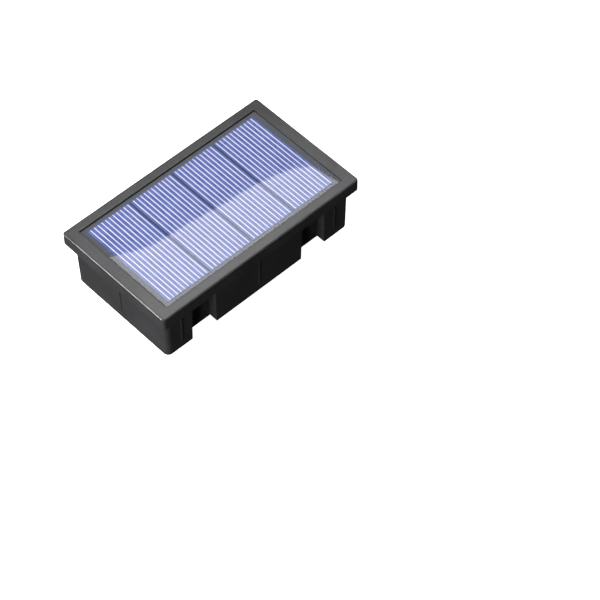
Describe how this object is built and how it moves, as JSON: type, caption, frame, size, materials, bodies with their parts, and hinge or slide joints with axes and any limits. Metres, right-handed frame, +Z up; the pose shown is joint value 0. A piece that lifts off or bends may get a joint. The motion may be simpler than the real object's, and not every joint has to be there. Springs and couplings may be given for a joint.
{
  "type": "solar fence light module",
  "caption": "Flanged rectangular solar light module with a top panel, a tapered body, a reflector pocket with a diode and a push switch underneath.",
  "frame": {"origin": "centre of the seat plane, which is the underside of the flange plate that rests on the lamp's rim", "axes": "+Z up, out of the solar panel; X along the long side, with the push switch near the -X end; the two notches are in the -Y wall"},
  "size_m": [0.094, 0.0548, 0.0309],
  "materials": {
    "black_plastic": "satin moulded ABS",
    "screw_steel": "bright zinc plate",
    "backing_board": "pale glass-epoxy board",
    "silicon": "blue silicon cells",
    "clear_resin": "clear cast epoxy, glossy",
    "silicone": "white sealant",
    "solder": "bright solder",
    "circuit_board": "green glass-epoxy board",
    "white_plastic": "white moulding",
    "phosphor": "yellow phosphor in silicone",
    "chip_epoxy": "black moulding epoxy",
    "tinned_lead": "tinned copper",
    "inductor_coat": "green epoxy coat",
    "dark_phenolic": "brown phenolic",
    "plunger_plastic": "white moulding, a shade greyer than the case",
    "contact_bronze": "phosphor bronze",
    "spring_steel": "drawn spring wire",
    "nickel_steel": "nickel-plated steel",
    "sleeve_film": "plain green shrink film",
    "washer_card": "white insulating card",
    "nickel_strip": "nickel strip",
    "black_wire": "black insulation",
    "red_wire": "red insulation"
  },
  "bodies": {
    "module": {"housing": "black_plastic", "bottom_cover": "black_plastic", "cover_screws": "screw_steel", "panel_backing_board": "backing_board", "solar_cells": "silicon", "panel_encapsulant": "clear_resin", "panel_adhesive": "silicone", "panel_terminals": "solder", "circuit_board": "circuit_board", "solder_joints": "solder", "board_screws": "screw_steel", "diode_frame": "white_plastic", "diode_phosphor": "phosphor", "diode_pads": "solder", "driver_chip": "chip_epoxy", "driver_chip_legs": "tinned_lead", "inductor": "inductor_coat", "inductor_leads": "tinned_lead", "switch_housing": "white_plastic", "switch_base": "dark_phenolic", "switch_pins": "tinned_lead", "switch_spring": "spring_steel", "battery_can": "nickel_steel", "battery_sleeve": "sleeve_film", "battery_washer": "washer_card", "battery_button": "nickel_steel", "battery_tabs": "nickel_strip", "panel_wire_black": "black_wire", "panel_wire_red": "red_wire", "battery_wire_black": "black_wire", "battery_wire_red": "red_wire"},
    "plunger": {"switch_plunger": "plunger_plastic", "switch_contact": "contact_bronze"}
  },
  "joints": [
    {"name": "switch_press", "type": "slide", "parent": "module", "child": "plunger", "axis": [0, 0, 1], "range_m": [0, 0.0018], "stiffness_N_per_m": 400, "springref_m": -0.0015, "deforming": ["switch_spring"]}
  ]
}
